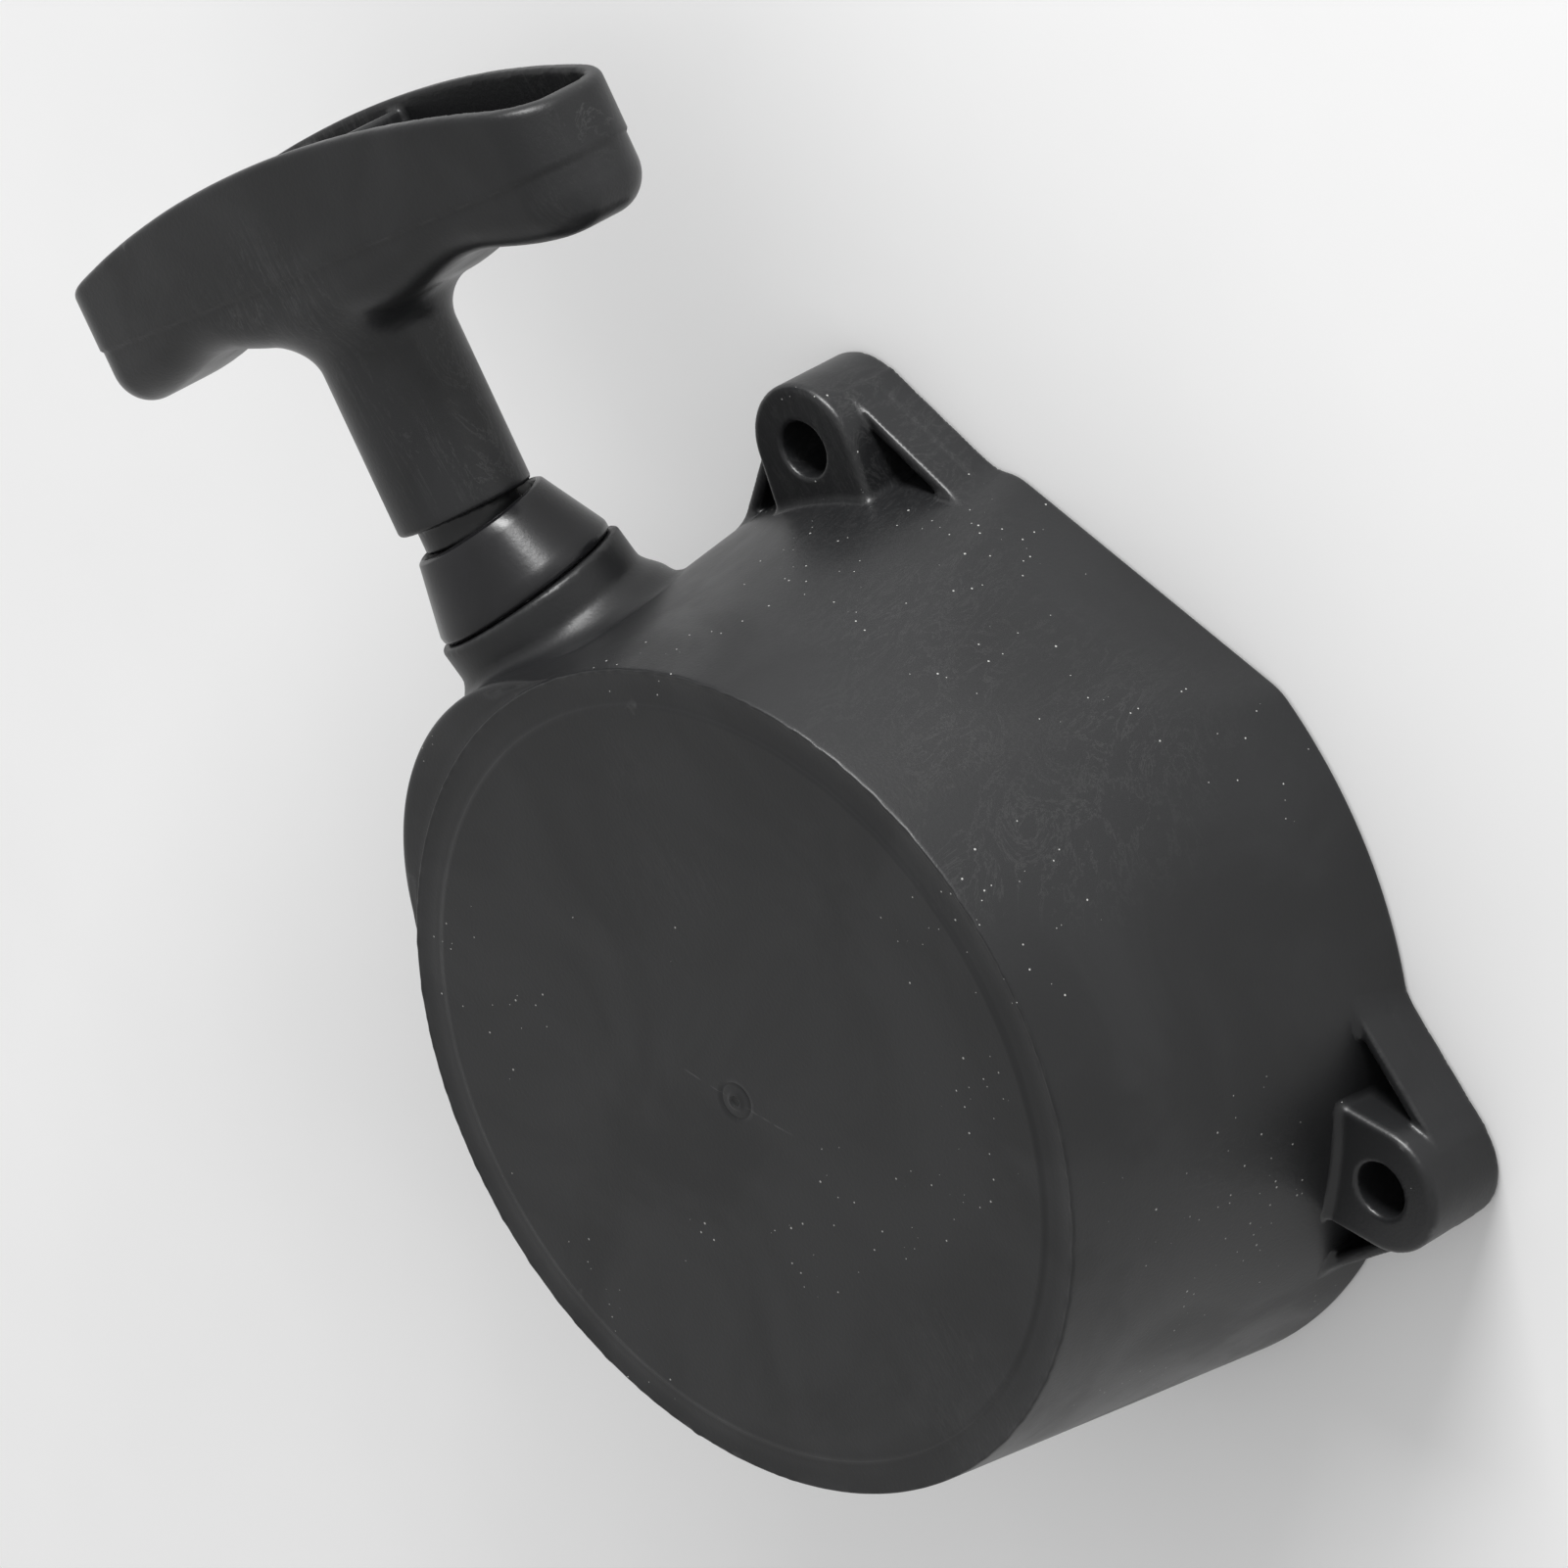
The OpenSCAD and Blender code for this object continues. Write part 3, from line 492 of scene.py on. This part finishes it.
# the housing is one profile carried round the axis: closed face, edge, wall, rim, bore, ceiling and post
def housingShell():
    s = shell
    theta = np.linspace(0, 2 * math.pi, s["columns"], endpoint=False)[None, :]
    top = s["height"]
    # closed face: rings about the gate mark that become rings about the axis, with height by radius
    r = np.array([0.3, 0.5, 0.62, 0.75, 0.9, 1.05, 1.3, 1.7, 1.9, 2.02, 2.14, 2.3, 2.7, 3.6, 6, 10, 15, 20, 25,
                  30, 35, 39, 41.5, 42.6, 42.95, 43.15, 43.35, 43.7, 44.5, 45.4, 46.1, 46.45])
    gate = np.interp(r, [0, 0.5, 0.62, 0.75, 0.9, 1.05, 1.3, 1.7, 1.9, 2.02, 2.14, 2.3],
                     [-0.16, -0.14, 0.05, 0.13, 0.1, 0.02, -0.03, -0.04, -0.07, -0.16, -0.12, 0])
    step = s["raised"] * (1 - ramp(r, s["faceRadius"] - s["band"] - 0.25, s["faceRadius"] - s["band"] + 0.15))
    dish = -0.12 * ramp(r, 43.6, 45) * (1 - ramp(r, 45.6, 46.4))
    drift = 1 - ramp(r, 3, 35)
    r, z = r[:, None], (top + gate + step + dish)[:, None]
    centre = np.array([-1.4, 1.1])
    discX = centre[0] * drift[:, None] + r * np.cos(theta)
    discY = centre[1] * drift[:, None] + r * np.sin(theta)
    disc = np.stack([discX, discY, z + 0 * theta], -1)
    # rough flash along the edge of the face, highest where the noise peaks
    burr = s["flash"] * np.clip(0.35 + 0.4 * ringNoise(theta[0], 40, 190, 22, 3), 0, 1.4)
    burr = (burr + 0.03)[None, :]
    edgeR = np.array([46.62, 46.78, 46.9, 46.98])[:, None]
    edgeLift = np.array([0.35, 1.0, 0.75, -0.2])[:, None]
    edge = ring3(theta, edgeR + 0.12 * burr * edgeLift, top + burr * edgeLift - 0.02)
    # wall rows: how much of the lobe each row takes, how far it is set in at the lobe's edge, its height
    drop = s["lobeDrop"]
    rows = [(0, 0, 0.35), (0, 0, drop - 0.12), (0.04, 0, drop - 0.03), (0.3, 0, drop), (0.7, 0, drop + 0.01),
            (1, 0.9, drop + 0.03), (1, 0.52, drop + 0.1), (1, 0.24, drop + 0.26), (1, 0.07, drop + 0.52),
            (1, 0, drop + 0.9)]
    rows += [(1, 0, d) for d in np.linspace(2.6, top - 1.4, 30)]
    rows += [(1, 0, top - 0.7), (1, 0.02, top - 0.3), (1, 0.1, top - 0.1), (1, 0.3, top)]
    share, inset, down = [np.array(x)[:, None] for x in zip(*rows)]
    zWall = top - down
    plain = outerRadius(theta, zWall, 0.0)
    lobed = outerRadius(theta, zWall, 1.0)
    onLobe = ramp(lobed - plain, 0.2, 1.5)
    isRim = down > top - 1
    wall = ring3(theta, plain + share * (lobed - plain) - inset * np.where(isRim, 1, onLobe), zWall)
    # bore rows from the rim up: share of the lobe's pocket, widening at the rim's edge, height
    rows = [(0, 2.6, 0), (0, 0.3, 0), (0, 0.1, 0.1), (0, 0.02, 0.3), (0, 0, 0.7)]
    rows += [(0, 0, h) for h in np.linspace(2, s["lobeFloor"] - 0.3, 6)]
    rows += [(x, 0, s["lobeFloor"] + 0.02 * x) for x in (0, 0.5, 1)]
    rows += [(1, 0, h) for h in np.linspace(s["lobeFloor"] + 0.5, ceiling - s["lobeDrop"] - 0.3, 14)]
    rows += [(x, 0, ceiling - s["lobeDrop"] - 0.02 * x) for x in (1, 0.5, 0)]
    share, wide, h = [np.array(x)[:, None] for x in zip(*rows)]
    bore = ring3(theta, np.minimum(innerRadius(theta, h, share) + wide, outerRadius(theta, 0.0) - 0.5), h)
    # ceiling, the seat ring of the spring case, and the centre post with its bore
    post = np.array([(44.3, 44.42), (44.0, 44.5), (37.9, 44.5), (37.62, 44.4), (37.6, 41.6), (37.5, 41.5),
                     (36.15, 41.5), (36.05, 41.6), (36.05, 44.5), (20, 44.5), (7.3, 44.5), (7.0, 44.3),
                     (7.0, 44.0), (6.9, 43.9), (5.2, 43.9), (5.0, 43.7), (5.0, 21.5), (4.9, 21.3),
                     (4.7, 21.2), (3.4, 21.2), (3.22, 21.35), (3.22, 31.2), (1.5, 31.2)])
    inner = ring3(theta, post[:, :1] + 0 * theta, post[:, 1:])
    grid = np.concatenate([disc, edge, wall, bore, inner])
    rowCount = len(grid)
    poles = [[centre[0], centre[1], top + s["raised"] - 0.16], [0, 0, 31.2]]
    points = np.concatenate([grid.reshape(-1, 3), poles])
    faces = ringFaces(rowCount, s["columns"], True, True)
    return makeMesh("housingShell", points, faces, "starter_body", blackNylon)


# points on rings: radius along theta in the plane, with a height for each row
def ring3(theta, radius, z):
    radius = radius + 0 * theta
    return np.stack([radius * np.cos(theta), radius * np.sin(theta), z + 0 * radius], -1)


housing = housingShell()
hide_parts("housing")
print("housing shell made")

# the screw ears
ear = dict(angles=(-14, 106, 226), circle=57.75, hole=3.2, radius=7.3, height=10.8, floor=3.0, ribHeight=7.4,
           ribThickness=1.4, halfAngle=18.0, cell=0.42, fillet=0.9, depth=0.7)


# depth under the housing's wall: distance from the axis less the wall radius, and height over the lobe's top
def wallDepth(x, y, z, turn=0.0):
    theta = np.arctan2(y, x) + turn
    return np.maximum(np.hypot(x, y) - outerRadius(theta, z), z - (shell["height"] - shell["lobeDrop"]))


# a screw ear as a distance field: a round-ended tongue, a thin floor and two side ribs that run out along
# the tangent from the wall to the tongue, joined by small fillets and sunk a little into the wall
def earField(turn):
    e = ear
    foot = (shell["rimRadius"] - 0.3) * np.array([math.cos(math.radians(e["halfAngle"])),
                                                  math.sin(math.radians(e["halfAngle"]))])
    span = foot - np.array([e["circle"], 0])
    touchAngle = math.atan2(span[1], span[0]) - math.acos(e["radius"] / np.linalg.norm(span))
    outward = np.array([math.cos(touchAngle), math.sin(touchAngle)])
    touch = np.array([e["circle"], 0]) + e["radius"] * outward
    along = (touch - foot) / np.linalg.norm(touch - foot)
    reach = float((touch - foot) @ along)

    def field(x, y, z):
        tongue = np.hypot(np.maximum(x - e["circle"], 0), y) - e["radius"]
        tongue = roundBoth(tongue, z - e["height"], 0.7)
        side = (x - foot[0]) * outward[0] + (np.abs(y) - foot[1]) * outward[1]
        run = (x - foot[0]) * along[0] + (np.abs(y) - foot[1]) * along[1]
        floor = np.maximum(np.maximum(side, z - e["floor"]), run - reach)
        rib = roundBoth(np.abs(side + e["ribThickness"] / 2) - e["ribThickness"] / 2, z - e["ribHeight"], 0.35)
        rib = np.maximum(rib, run - reach)
        part = roundEither(roundEither(tongue, rib, 0.45), floor, 0.45)
        deep = wallDepth(x, y, z, turn)
        joined = np.minimum(part, roundEither(part, deep + 0.03, e["fillet"]))
        joined = np.maximum(joined, part - e["fillet"] * 1.6)
        joined = np.maximum(joined, -(deep + e["depth"]))
        hole = np.hypot(x - e["circle"], y) - e["hole"]
        return roundBoth(roundBoth(joined, -hole, 0.35), 0.02 - z, 0.3)

    return field


for number, angle in enumerate(ear["angles"], 1):
    turn = math.radians(angle)
    points, quads = netSurface(earField(turn), (47.5, -19.5, -0.6), (65.9, 19.5, 11.6), ear["cell"])
    c, s = math.cos(turn), math.sin(turn)
    turned = points @ np.array([[c, s, 0], [-s, c, 0], [0, 0, 1]])
    makeMesh(f"screwEar{number}", turned, [quads], "starter_body", blackNylon)
print("screw ears made")

# the rope outlet boss and the pull axis
outlet = dict(pullY=13.3, pullZ=32.3, tilt=11.0, endX=56.3, radius=11.5, rootRadius=13.4, guideEnd=65.4,
              bore=6.0, cell=0.5, fillet=1.6)


# the rope boss as a distance field: a cylinder round the tilted guide axis that widens towards the wall
def bossField(x, y, z):
    o = outlet
    t = math.radians(o["tilt"])
    dx, dz = x - o["guideEnd"], z - o["pullZ"]
    along = o["guideEnd"] + dx * math.cos(t) + dz * math.sin(t)
    across = -dx * math.sin(t) + dz * math.cos(t)
    radial = np.hypot(y - o["pullY"], across)
    wide = o["radius"] + (o["rootRadius"] - o["radius"]) * (1 - ramp(along, 49.0, 52.6))
    body = roundBoth(radial - wide, along - o["endX"], 0.5)
    body = roundBoth(body, -(radial - o["bore"]), 0.3)
    deep = wallDepth(x, y, z)
    joined = np.minimum(body, roundEither(body, deep + 0.03, o["fillet"]))
    joined = np.maximum(joined, body - o["fillet"] * 1.6)
    joined = np.maximum(joined, -(radial - o["bore"]))
    return np.maximum(joined, -(deep + 0.9))


points, quads = netSurface(bossField, (38, -3.5, 12), (59, 30.5, 47.5), outlet["cell"])
makeMesh("ropeBoss", points, [quads], "starter_body", blackNylon)
print("rope boss made")


# the handle, along its own axis from the same zero as the pull axis
grip = dict(length=82.0, width=20.5, endWidth=15.5, height=20.0, rise=6.0, start=90.0, offset=-2.5, wall=2.0,
            ribOffset=7.5, stem=7.75, shoulder=67.05, nose=64.18, noseRadius=5.8, roll=2.0, leanSide=-5.0,
            leanUp=1.0, sag=(0.2, 0.85), floor=4.5, midFloor=6.0, bore=3.0, fillet=4.0, parting=7.6,
            partingStep=0.28, hollowDepth=2.5, hollowAt=21.6, hollowWidth=9.0, cell=0.42)


# the handle as a distance field: a lens-shaped plan cut by an arch on the outside and by shallow finger
# hollows underneath, hollowed from outside with cross ribs left in, on a round stem with a fillet
def handleField(u, v, w):
    g = grip
    half = g["length"] / 2
    bow = (g["width"] - g["endWidth"]) / 2
    arcRadius = (half * half + bow * bow) / (2 * bow)
    below = g["partingStep"] * (1 - ramp(w, g["start"] + g["parting"] - 0.12, g["start"] + g["parting"] + 0.12))
    length = v - g["offset"]
    lens = np.hypot(np.abs(u) + arcRadius - g["width"] / 2, length) - arcRadius
    plan = roundBoth(lens, np.abs(length) - half, 6.0)
    archRadius = (half * half + g["rise"] ** 2) / (2 * g["rise"])
    topCentre = g["start"] + g["height"] - archRadius
    arch = np.hypot(length, w - topCentre) - archRadius
    hollow = g["hollowDepth"] * np.exp(-(((np.abs(length) - g["hollowAt"]) / g["hollowWidth"]) ** 2))
    under = g["start"] + hollow - w
    outer = roundBoth(roundBoth(plan + below, arch, 0.8), under, 4.6)
    floor = g["start"] + g["floor"] - w
    inner = roundBoth(plan + g["wall"], floor, 1.2)
    ribs = np.abs(np.abs(v) - g["ribOffset"]) - g["wall"] / 2
    ribTop = w - (g["start"] + g["height"] - 1.2)
    inner = roundBoth(inner, -roundBoth(ribs, ribTop, 0.4), 0.6)
    middle = np.maximum(np.abs(v) - g["ribOffset"], w - (g["start"] + g["midFloor"]))
    inner = np.maximum(inner, -middle)
    body = roundBoth(outer, -inner, 0.45)
    radial = np.hypot(u, v)
    noseLength = g["shoulder"] - g["nose"]
    stem = roundBoth(roundBoth(radial - g["stem"], g["shoulder"] - w, 0.6), w - (g["start"] + 2), 0.5)
    stem = np.minimum(stem, roundBoth(radial - g["noseRadius"], np.abs(w - g["shoulder"]) - noseLength, 0.4))
    body = roundEither(body, stem, g["fillet"])
    body = roundBoth(body, -inner, 0.3)
    return roundBoth(body, -(radial - g["bore"]), 0.3)


# moves points from the handle's frame (width, length, pull) to the part's frame: rolled about the stem,
# then leaned about the guide's mouth
def handlePlace(p, sag=(0, 0)):
    a, up, side = (math.radians(grip[key]) for key in ("roll", "leanUp", "leanSide"))
    u, v, w = p.T
    x = w - outlet["guideEnd"]
    y = v * math.cos(a) - u * math.sin(a)
    z = v * math.sin(a) + u * math.cos(a)
    x, z = x * math.cos(up) - z * math.sin(up), x * math.sin(up) + z * math.cos(up)
    x, y = x * math.cos(side) - y * math.sin(side), x * math.sin(side) + y * math.cos(side)
    return np.stack([outlet["guideEnd"] + x, outlet["pullY"] + sag[0] + y, outlet["pullZ"] + sag[1] + z], -1)


points, quads = netSurface(handleField, (-11.2, -45, 63.6), (11.2, 40, 110.6), grip["cell"])
handle = makeMesh("pullHandle", handlePlace(points, grip["sag"]), [quads], "handle_body",
                  handleNylon)
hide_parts("handle")
print("handle made", len(quads))


# the rope between the coil and the knot
rope = dict(radius=1.6, start=47.5, end=97.0, seat=64.3, mouth=48.5, travel=700.0, plait=5.2, relief=0.1,
            sides=20, rowStep=0.65)


# a braided tube along the pull axis and, past the guide's mouth, along the handle's axis: its radius rises
# where yarns of two opposite twists cross, and the twist is laid out for the pulled-out rope, so the rows
# bunch up where the rope is still inside the guide
def ropeLead():
    r = rope
    fine = np.linspace(r["start"], r["end"], 4001)
    share = np.clip((fine - r["mouth"]) / (r["seat"] - r["mouth"]), 0, 1)
    pulled = fine + r["travel"] * share * share * (3 - 2 * share)
    rows = int((pulled[-1] - pulled[0]) / r["rowStep"])
    arc = np.linspace(pulled[0], pulled[-1], rows)
    x = np.interp(arc, pulled, fine)[:, None]
    arc = arc[:, None]
    a = np.linspace(0, 2 * math.pi, r["sides"], endpoint=False)[None, :]
    twist = 2 * math.pi * arc / r["plait"] / 2
    yarn = np.cos(4 * a + 2 * twist) + np.cos(4 * a - 2 * twist)
    radius = r["radius"] - r["relief"] + r["relief"] * 0.5 * np.abs(yarn)
    y, z = outlet["pullY"], outlet["pullZ"]
    points = np.stack([x + 0 * a, y + radius * np.cos(a), z + radius * np.sin(a)], -1)
    ends = np.array([[r["start"], y, z], [r["end"], y, z]])
    for spots in (points, ends):
        past = np.maximum(spots[..., 0] - outlet["guideEnd"], 0)
        spots[..., 1] += past * math.tan(math.radians(grip["leanSide"]))
        spots[..., 2] += past * math.tan(math.radians(grip["leanUp"]))
    faces = [f[:, ::-1] for f in ringFaces(rows, r["sides"], True, True)]
    obj = makeMesh("ropeLead", np.concatenate([points.reshape(-1, 3), ends]), faces, None, ropeYarn)
    mesh = obj.data
    uvAt = np.concatenate([np.stack([np.broadcast_to(a / (2 * math.pi), points.shape[:2]),
                                     np.broadcast_to(arc / 10, points.shape[:2])], -1).reshape(-1, 2),
                           [[0, 0], [0, arc[-1, 0] / 10]]])
    corner = np.zeros(len(mesh.loops), np.int32)
    mesh.loops.foreach_get("vertex_index", corner)
    mesh.uv_layers.new(name="along")
    mesh.uv_layers[0].data.foreach_set("uv", uvAt[corner].astype(np.float32).ravel())
    return obj


lead = ropeLead()
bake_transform(lead)
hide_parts("rope_lead")

# the overhand knot
knot = dict(scale=1.02, tube=1.35, rows=220, sides=14)


# the knot behind the washer: a tube carried along a trefoil, (sin t + 2 sin 2t, cos t - 2 cos 2t, -sin 3t)
def ropeKnot():
    k = knot
    t = np.linspace(0, 2 * math.pi, k["rows"], endpoint=False)
    line = k["scale"] * np.stack([np.sin(t) + 2 * np.sin(2 * t), np.cos(t) - 2 * np.cos(2 * t),
                                  -1.25 * np.sin(3 * t)], -1)
    ahead = np.roll(line, -1, 0) - np.roll(line, 1, 0)
    ahead /= np.linalg.norm(ahead, axis=1)[:, None]
    side = np.cross(ahead, line)
    side /= np.linalg.norm(side, axis=1)[:, None]
    other = np.cross(ahead, side)
    a = np.linspace(0, 2 * math.pi, k["sides"], endpoint=False)[None, :, None]
    ripple = 1 + 0.05 * np.cos(5 * a[..., 0] + 26 * t[:, None])[..., None]
    tube = line[:, None] + k["tube"] * ripple * (np.cos(a) * side[:, None] + np.sin(a) * other[:, None])
    u, v, w = tube.reshape(-1, 3).T
    points = handlePlace(np.stack([u, v, w + 99.7], -1))
    i, j = np.meshgrid(np.arange(k["rows"]), np.arange(k["sides"]), indexing="ij")
    n, m = (i + 1) % k["rows"], (j + 1) % k["sides"]
    quads = np.stack([i * k["sides"] + j, n * k["sides"] + j, n * k["sides"] + m, i * k["sides"] + m], -1)
    return makeMesh("ropeKnot", points, [quads.reshape(-1, 4)], "rope_end", ropeWound)


knotPiece = ropeKnot()
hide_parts("handle_knot")
print("rope and knot made")


# CAD nodes that keep their shape: material and the width of their softened edges in metres
kept = {
    "reel": (whiteNylon, 0.0004), "rope_guide": (glossNylon, 0.0003), "axle_insert": (brass, 0.0001),
    "bearing_sleeve": (brass, 0.0001), "spring_case": (sheetSteel, 0.0001),
    "spring_cover": (sheetSteel, 0.0001),
    "recoil_spring": (springSteel, 0), "reel_washer": (darkZinc, 0.0001), "lock_washer": (darkZinc, 0.0001),
    "reel_screw": (darkZinc, 0.00015), "handle_washer": (sheetSteel, 0.0001), "rope_coil": (ropeWound, 0),
    "reel_knot": (ropeWound, 0), "rope_run": (ropeWound, 0)}
for name, (material, rounding) in kept.items():
    obj = nodes[name]
    obj.data.materials.clear()
    obj.data.materials.append(material)
    if rounding:
        weld = obj.modifiers.new("weld", "WELD")
        weld.merge_threshold = 0.000002
        bevel = obj.modifiers.new("softEdges", "BEVEL")
        bevel.width = rounding
        bevel.segments = 2
        bevel.limit_method = "ANGLE"
        bevel.angle_limit = math.radians(35)
        bevel.harden_normals = True
print("CAD nodes dressed")


# floor, camera and world
stageValues = dict(floorSize=6000.0, floorDrop=0.3, floorRoughness=0.9, lens=237.0, sensor=36.0,
                   cameraRight=(-0.46002, -0.57528, -0.67633), cameraBack=(0.029077, -0.771069, 0.636088),
                   cameraAt=(0.05738, -0.84721, 0.72159), aim=(0.03, 0, 0.03), worldStrength=0.7)
floorMat = bpy.data.materials.new("paleFloor")
floorMat.use_nodes = True
floorTree = floorMat.node_tree
floorNoise = addNode(floorTree, "ShaderNodeTexNoise", {
    "Vector": addNode(floorTree, "ShaderNodeTexCoord").outputs["Object"]}, Scale=30.0, Detail=3.0)
floorTree.links.new(mixColour(floorTree, floorNoise.outputs["Fac"], (0.84, 0.84, 0.84), (0.88, 0.88, 0.88)),
                    floorTree.nodes["Principled BSDF"].inputs["Base Color"])
floorTree.nodes["Principled BSDF"].inputs["Roughness"].default_value = stageValues["floorRoughness"]
half, low = stageValues["floorSize"] / 2, -stageValues["floorDrop"]
corners = np.array([[-half, -half, low], [half, -half, low], [half, half, low], [-half, half, low]])
floor = makeMesh("floor", corners, [np.array([[0, 1, 2, 3]])], None, floorMat)

camData = bpy.data.cameras.new("camera")
camData.lens = stageValues["lens"]
camData.sensor_width = stageValues["sensor"]
camData.clip_end = 20
camera = bpy.data.objects.new("camera", camData)
bpy.context.scene.collection.objects.link(camera)
right = Vector(stageValues["cameraRight"]).normalized()
back = Vector(stageValues["cameraBack"])
back = (back - right * back.dot(right)).normalized()
up = back.cross(right)
place = Matrix((right, up, back)).transposed().to_4x4()
place.translation = Vector(stageValues["cameraAt"])
camera.matrix_world = place
bpy.context.scene.camera = camera


# a large soft light, placed by its direction in the camera's own axes and turned to face the part
def softLight(name, across, upward, towards, distance, size, watts):
    data = bpy.data.lights.new(name, "AREA")
    data.shape = "RECTANGLE"
    data.size, data.size_y = size
    data.energy = watts
    obj = bpy.data.objects.new(name, data)
    bpy.context.scene.collection.objects.link(obj)
    aim = (right * across + up * upward + back * towards).normalized()
    at = Vector(stageValues["aim"]) + aim * distance
    obj.matrix_world = Matrix.Translation(at) @ aim.to_track_quat("Z", "Y").to_matrix().to_4x4()
    return obj


softLight("keyLight", -0.1, 0.75, 0.65, 1.3, (0.7, 0.35), 26)
softLight("backLight", 0.2, 0.4, -0.5, 1.4, (1.2, 0.6), 10)
world = bpy.data.worlds.new("studio")
world.use_nodes = True
world.node_tree.nodes["Background"].inputs["Color"].default_value = (1, 1, 1, 1)
world.node_tree.nodes["Background"].inputs["Strength"].default_value = stageValues["worldStrength"]
bpy.context.scene.world = world
bpy.context.scene.view_settings.view_transform = "Standard"
print("stage set")
